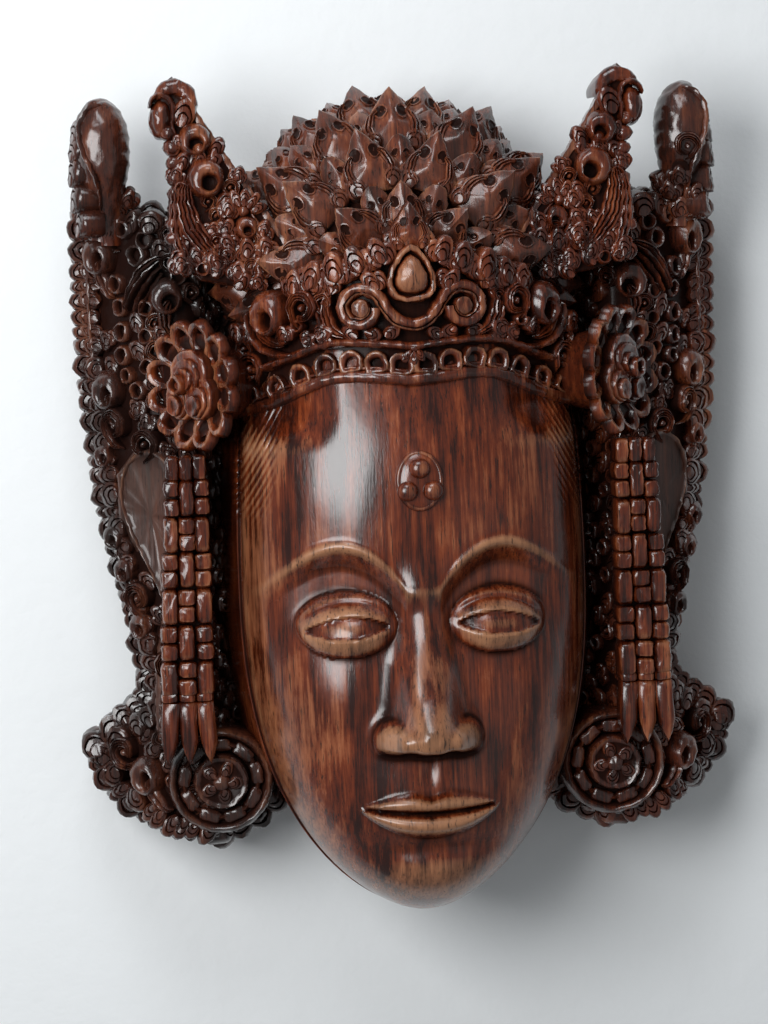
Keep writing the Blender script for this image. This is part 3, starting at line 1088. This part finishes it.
def carve_horns():
    piece = Piece("horns", dark=0.35)
    piece.pair(plate(HORN, 50, 60, lowered(horn_depth, 0.8), 2.5, 1.2, 0.9, horn_back))
    flat_edge = [(-1, -8, 0.4), (-1, 0, 0), (-0.9, 0.8, -0.6), (0, 1.0, -0.9), (0.9, 0.8, -0.6), (1, 0, 0.2),
                 (1, -8, 0.3)]
    deep_edge = [(-1, -9, 0.6), (-1, 0.2, 0.3), (-0.8, 0.9, 0), (0, 1.3, -0.2), (0.8, 0.9, 0), (1, 0.2, 0.1),
                 (1, -10, 0.4)]
    edge = [(36.5, 92.5), (49, 111.5), (62, 131), (72.5, 147.5), (79, 158.6)]
    lower = [(40.5, 91.5), (51, 107.5), (58, 118)]
    hood = [(72.2, 148.5), (74.0, 154.2), (78.2, 156.8), (82.6, 155.8), (85.6, 152.6)]
    band = [(88.0, 149.0), (87.2, 152.2), (84.2, 154.2), (80.6, 152.4), (79.4, 148.4), (80.2, 143.5),
            (79.2, 139.0)]
    flutes = [(76.0, 124.0), (77.0, 116.0), (75.0, 107.0), (69.5, 99.0), (64.0, 93.5)]
    outer = [(80.2, 122.0), (80.6, 113.0), (80.2, 104.0), (77.5, 96.0), (73.5, 90.0)]
    for path, half, section, rise, lift in (
        (edge, 1.15, flat_edge, 1.0, -0.6),
        (lower, 0.6, ROUND, 1.0, 0.2),
        (hood, swell(2.9, 0.55), deep_edge, 2.2, -0.4),
        (band, swell(1.1, 0.5), ROUND, 2.6, 0.6),
        (flutes, swell(4.0, 0.45), fluted(5, 0.6), 2.6, 0.5),
        (outer, swell(2.6, 0.5), fluted(3, 0.6), 2.2, 0.2),
    ):
        piece.pair(draw(horn_depth, path, half, section, rise, lift))
    ball = [(1, -8, 0.5), (1, -2.6, 0.2), (0.96, -0.4, 0), (0.86, 1.6, 0), (0.7, 3.0, -0.1), (0.5, 3.9, -0.2),
            (0.25, 4.4, -0.2)]
    for form, x, y, turn, lift, lean, tall in (
        (stamp(oval(8.4, 13.6, 28), ball), 84.2, 145.6, 4, -1.4, 0, 1),
        (lobe(8.4, 11.0), 75.6, 147.2, 20, 0.6, 6, 1),
        (crescent(11.5, 1.2, False), 72.6, 137.6, 20, 0.2, 0, 1),
        (bead(5.2, 5.2), 71.2, 133.8, 0, 1.0, 0, 2.2),
        (lobe(5.6, 8.4), 64.8, 134.6, 28, 0.6, 6, 1),
        (crescent(13.5, 1.2, False), 69.2, 124.0, 0, 0.6, 0, 1),
        (fan(9.5, 5, 130), 56.5, 111.0, 8, 0.8, 8, 1),
        (crescent(8.0, 1.1, False), 55.5, 106.0, 10, 0.8, 4, 1),
    ):
        piece.put(form, horn_depth, x, y, turn, lift, lean, tall, loose=0)
    for x, y, turn, size in (
        (58.5, 124.2, 25, 6.0), (62.0, 111.5, 10, 7.0), (50.2, 104.0, 20, 7.0), (48.5, 97.4, -10, 8.0),
        (55.5, 96.5, 0, 8.5), (61.5, 98.5, -20, 8.5), (66.0, 93.0, -30, 8), (44.0, 94.0, 10, 7),
        (51.5, 90.6, 0, 7.5), (59, 89.6, 0, 7.5), (72.5, 95.5, -20, 7), (79, 92.5, 0, 8),
        (63.5, 105.0, 30, 7.0), (73.5, 139.8, -30, 5.2), (77.8, 136.5, -20, 5.2),
    ):
        piece.put(trefoil(size), horn_depth, x, y - 1, turn, 0.6, 8, loose=0.5)
    taken = [(83, 146, 8), (75.6, 147.2, 5), (72.6, 137.6, 6), (64.8, 134.6, 4), (69.2, 124, 7), (76, 112, 6),
             (72, 101, 5), (80, 108, 4), (56.5, 111, 8), (55.5, 106, 5)]
    ground = [(40, 91), (50, 107), (62, 127), (72, 143), (78, 150), (82, 138), (80, 115), (83, 98), (76, 89),
              (52, 86)]
    columns, rows = np.arange(38, 84, 5.6), np.arange(87, 140, 4.8)
    fill(piece, horn_depth, ground, taken, columns, rows, 6.0, lambda x, y: 30.0, -0.4)
    for y in np.arange(103, 143, 5.4):
        x = float(np.interp(y, [98, 115, 128, 140, 151], [82.2, 79.8, 79.6, 81.6, 83.8]))
        piece.put(bead(6.4, 5.6), horn_depth, x, y, 0, -0.8, tall=1.8, loose=0.4)
    carve_bulbs(piece)
    return piece


def carve_bulbs(piece):
    """The outer horns: a post that ends in a smooth bulb with a stepped edge, and leaves round its foot."""
    around = 48
    top = BULB_Y + BULB_RISE * np.sin(np.linspace(0, math.pi / 2, 22)[1:])
    y = np.concatenate([np.linspace(102, BULB_Y, 40), top])[:, None]
    rounded = BULB_RADIUS * np.sqrt(np.maximum(1 - ((y - BULB_Y) / BULB_RISE) ** 2, 1e-4))
    post = np.interp(y, POST_HEIGHTS, POST_RADII)
    radius = np.where(y > BULB_Y, rounded, post)
    turn = np.linspace(0, math.tau, around, endpoint=False)
    step_x = np.interp(y, [119, 125.5, 130, 134.7, BULB_Y, 145, 150.5, 152.5],
                       [106.5, 107.0, 109.5, 112, 113.3, 113.5, 110, 106])
    beyond = smooth(0.2, 1.4, BULB_X + radius * np.cos(turn) - step_x) * smooth(-0.3, 0.1, np.sin(turn))
    radius = radius - 1.7 * beyond * smooth(154, 151, y) - 1.4 * smooth(133, 118, y)
    z = bulb_middle(y) + radius * np.sin(turn)
    bulb = np.stack([BULB_X + radius * np.cos(turn), np.repeat(y, around, 1), z], -1).reshape(-1, 3)
    piece.pair((bulb, grid_faces(len(y), around, True)[:, ::-1], NO_TRIS, np.zeros(len(bulb))))

    ridge = [(104.0, 152.0), (109.4, 150.6), (113.0, 145.0), (112.9, 139.0), (111.6, 134.0), (109.0, 128.5),
             (107.0, 122.5), (106.5, 114.0)]
    piece.pair(draw(bulb_front, ridge, swell(0.9, 0.5), ROUND, 1.8, -0.1))
    piece.put(frond(3.6, 1.3, 2), bulb_front, 105.6, 130.5, 0, -1.2, loose=0)
    hole = stamp(oval(6.5, 6.0, 16), [(1, 0.6, 0.9), (0.9, 0.7, 1), (0.1, 0.5, 1)])
    piece.put(hole, bulb_front, 103.4, 122.8, 0, -0.4, loose=0)
    for x, y, turn, size in (
        (97.5, 116.5, 20, 7.5), (103.5, 118.5, 0, 7.5), (101.5, 113.5, 10, 7.5), (109.0, 112.0, -10, 7.5),
        (105, 106.5, 0, 8.0), (98.6, 107.0, 20, 7), (111.8, 106.0, -20, 7),
    ):
        piece.put(trefoil(size), bulb_front, x, y, turn, -0.3, 6, loose=0.5)
    axes = np.column_stack([[0.25, 0, -0.97], [0, 1, 0], [0.97, 0, 0.25]])
    for y, long in ((143.0, 7.5), (136.6, 7.5), (128.8, 9.5), (119.5, 9.5), (110.5, 9.0)):
        x = 114.6 - 0.05 * (y - 128) ** 2 / 8
        piece.pair(placed(lobe(13.0, long * 1.2), (x, y, 42.0), axes, (1, 1, 0.8)))


# Materials, floor, light and camera


def node(tree, kind, **inputs):
    made = tree.nodes.new(kind)
    for name, value in inputs.items():
        made.inputs[name.replace("_", " ")].default_value = value
    return made


def new_material(name):
    material = bpy.data.materials.new(name)
    material.use_nodes = True
    return material, material.node_tree, material.node_tree.nodes["Principled BSDF"]


def waxed_wood():
    """Dark red-brown wood under wax: black in the cuts, rubbed pale on the edges, duller where it is dry."""
    material, tree, shader = new_material("waxed_wood")
    link = tree.links.new
    place = tree.nodes.new("ShaderNodeTexCoord").outputs["Object"]

    def field(name):
        made = tree.nodes.new("ShaderNodeAttribute")
        made.attribute_name = name
        return made.outputs["Fac"]

    def noise(scale, stretch, detail, roughness=0.6):
        mapping = node(tree, "ShaderNodeMapping", Scale=stretch)
        link(place, mapping.inputs["Vector"])
        made = node(tree, "ShaderNodeTexNoise", Scale=scale, Detail=detail, Roughness=roughness)
        link(mapping.outputs["Vector"], made.inputs["Vector"])
        return made.outputs["Fac"]

    def maths(operation, *values):
        made = tree.nodes.new("ShaderNodeMath")
        made.operation = operation
        for socket, value in zip(made.inputs, values):
            if isinstance(value, (int, float)):
                socket.default_value = value
            else:
                link(value, socket)
        return made.outputs[0]

    def times(value, factor):
        return maths("MULTIPLY", value, factor)

    def total(first, *others):
        for other in others:
            first = maths("ADD", first, other)
        return first

    def ranged(value, low, high, start, end):
        made = node(tree, "ShaderNodeMapRange", From_Min=low, From_Max=high, To_Min=start, To_Max=end)
        link(value, made.inputs["Value"])
        return made.outputs["Result"]

    def mixed(below, colour, amount):
        made = tree.nodes.new("ShaderNodeMix")
        made.data_type = "RGBA"
        link(below, made.inputs["A"])
        made.inputs["B"].default_value = (*colour, 1)
        link(amount, made.inputs["Factor"])
        return made.outputs["Result"]

    age, dry, dark = field("age"), field("dry"), field("dark")
    streak = noise(260.0, (1.0, 0.07, 0.4), 4.0)
    grain = noise(800.0, (1.0, 0.035, 0.4), 5.0, 0.7)
    pores = noise(1500.0, (1.0, 0.05, 0.5), 3.0, 0.7)
    patch = noise(30.0, (1.0, 0.7, 1.0), 5.0)
    speck = noise(420.0, (1.0, 0.5, 1.0), 3.0, 0.7)

    ramp = tree.nodes.new("ShaderNodeValToRGB")
    stops = ramp.color_ramp.elements
    stops.new(0.50)
    for stop, position, colour in zip(
        stops, (0.42, 0.50, 0.62), ((0.020, 0.0032, 0.0012), (0.105, 0.017, 0.0045), (0.27, 0.056, 0.014))
    ):
        stop.position = position
        stop.color = (*colour, 1)
    link(total(times(streak, 0.36), times(grain, 0.32), times(patch, 0.32)), ramp.inputs["Fac"])
    colour = ramp.outputs["Color"]
    colour = mixed(colour, (0.10, 0.066, 0.050), times(dry, ranged(patch, 0.35, 0.6, 0.25, 0.75)))
    colour = mixed(colour, (0.020, 0.012, 0.010), times(dark, ranged(patch, 0.3, 0.6, 1.0, 0.7)))
    rubbed = total(times(age, -1.0), times(streak, 1.1), times(grain, 1.2), times(patch, 1.5))
    worn = times(ranged(rubbed, 2.05, 2.95, 0.0, 0.85), maths("SUBTRACT", 1.0, times(dark, 0.75)))
    colour = mixed(colour, (0.37, 0.175, 0.085), worn)
    colour = mixed(colour, (0.012, 0.005, 0.004), ranged(age, 0.05, 0.95, 0.0, 0.94))
    colour = mixed(colour, (0.014, 0.005, 0.003), ranged(pores, 0.57, 0.65, 0.0, 0.85))
    link(colour, shader.inputs["Base Color"])

    gloss = ranged(patch, 0.3, 0.7, 0.16, 0.32)
    link(total(gloss, times(dry, 0.14), times(worn, 0.15)), shader.inputs["Roughness"])
    polish = times(ranged(age, 0.15, 0.8, 1.0, 0.08), 0.45)
    link(polish, shader.inputs["Specular IOR Level"])
    link(polish, shader.inputs["Coat Weight"])
    shader.inputs["Coat Roughness"].default_value = 0.15
    bump = node(tree, "ShaderNodeBump", Strength=0.30, Distance=0.0004)
    link(total(times(pores, -0.5), times(speck, 0.8)), bump.inputs["Height"])
    link(bump.outputs["Normal"], shader.inputs["Normal"])
    return material


def lay_floor():
    mesh = bpy.data.meshes.new("floor")
    reach = 3.0
    corners = [(-reach, -reach, 0), (reach, -reach, 0), (reach, reach, 0), (-reach, reach, 0)]
    mesh.from_pydata(corners, [], [(0, 1, 2, 3)])
    material, tree, shader = new_material("pale_wall")
    shader.inputs["Base Color"].default_value = (0.86, 0.88, 0.89, 1)
    shader.inputs["Roughness"].default_value = 0.9
    grit = node(tree, "ShaderNodeTexNoise", Scale=90.0, Detail=6.0, Roughness=0.65)
    tree.links.new(tree.nodes.new("ShaderNodeTexCoord").outputs["Object"], grit.inputs["Vector"])
    bump = node(tree, "ShaderNodeBump", Strength=0.25, Distance=0.002)
    tree.links.new(grit.outputs["Fac"], bump.inputs["Height"])
    tree.links.new(bump.outputs["Normal"], shader.inputs["Normal"])
    mesh.materials.append(material)
    floor = added("floor", mesh)


def hang_lights():
    aim = Vector((0, 0, 0.03))
    for name, spot, size, power, tint in (
        ("window", (-0.40, 0.16, 0.66), 0.40, 4.7, (0.985, 0.995, 1.0)),
        ("transom", (-0.14, 0.74, 0.54), 0.36, 2.6, (0.94, 0.97, 1.0)),
        ("fill", (0.9, -0.5, 1.5), 1.2, 0.6, (1.0, 0.96, 0.92)),
    ):
        data = bpy.data.lights.new(name, "AREA")
        data.shape = "SQUARE"
        data.size = size
        data.energy = power
        data.color = tint
        light = added(name, data)
        light.location = spot
        light.rotation_euler = (aim - Vector(spot)).to_track_quat("-Z", "Y").to_euler()
        light.visible_camera = False
    world = bpy.data.worlds.new("studio")
    bpy.context.scene.world = world
    world.use_nodes = True
    background = world.node_tree.nodes["Background"]
    background.inputs["Color"].default_value = (0.93, 0.97, 1.0, 1)
    background.inputs["Strength"].default_value = 0.23
    bpy.context.scene.view_settings.view_transform = "Standard"


def aim_camera():
    lean, roll, tilt = math.radians(4.7), math.radians(2.1), math.radians(-4.0)
    slope = math.tan(math.radians(10.0))  # half the height of the view for each unit of distance
    half_height = 512 * 0.353 * MM  # half the photograph's pixels, at their size on the face
    data = bpy.data.cameras.new("camera")
    data.sensor_fit = "VERTICAL"
    data.sensor_height = 24.0
    data.lens = 12.0 / slope
    camera = added("camera", data)
    back = Vector((-math.sin(lean) * math.cos(tilt), -math.sin(tilt), math.cos(lean) * math.cos(tilt)))
    right = Vector((0, 1, 0)).cross(back).normalized()
    up = back.cross(right)
    axes = (right * math.cos(roll) - up * math.sin(roll), up * math.cos(roll) + right * math.sin(roll), back)
    spot = Vector((-0.0065, -0.00925, 0.02)) + back * (half_height / slope + 0.06)
    camera.matrix_world = Matrix.Translation(spot) @ Matrix(axes).transposed().to_4x4()
    bpy.context.scene.camera = camera


WOOD = waxed_wood()
parts = [carve_head(), carve_crown(), carve_tiara(), carve_rosettes(), carve_tassels(), carve_plugs(),
         *halves(carve_wings()), carve_ears(), carve_horns()]
pieces = [part.build(WOOD) for part in parts]
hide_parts("mask")
lay_floor()
hang_lights()
aim_camera()
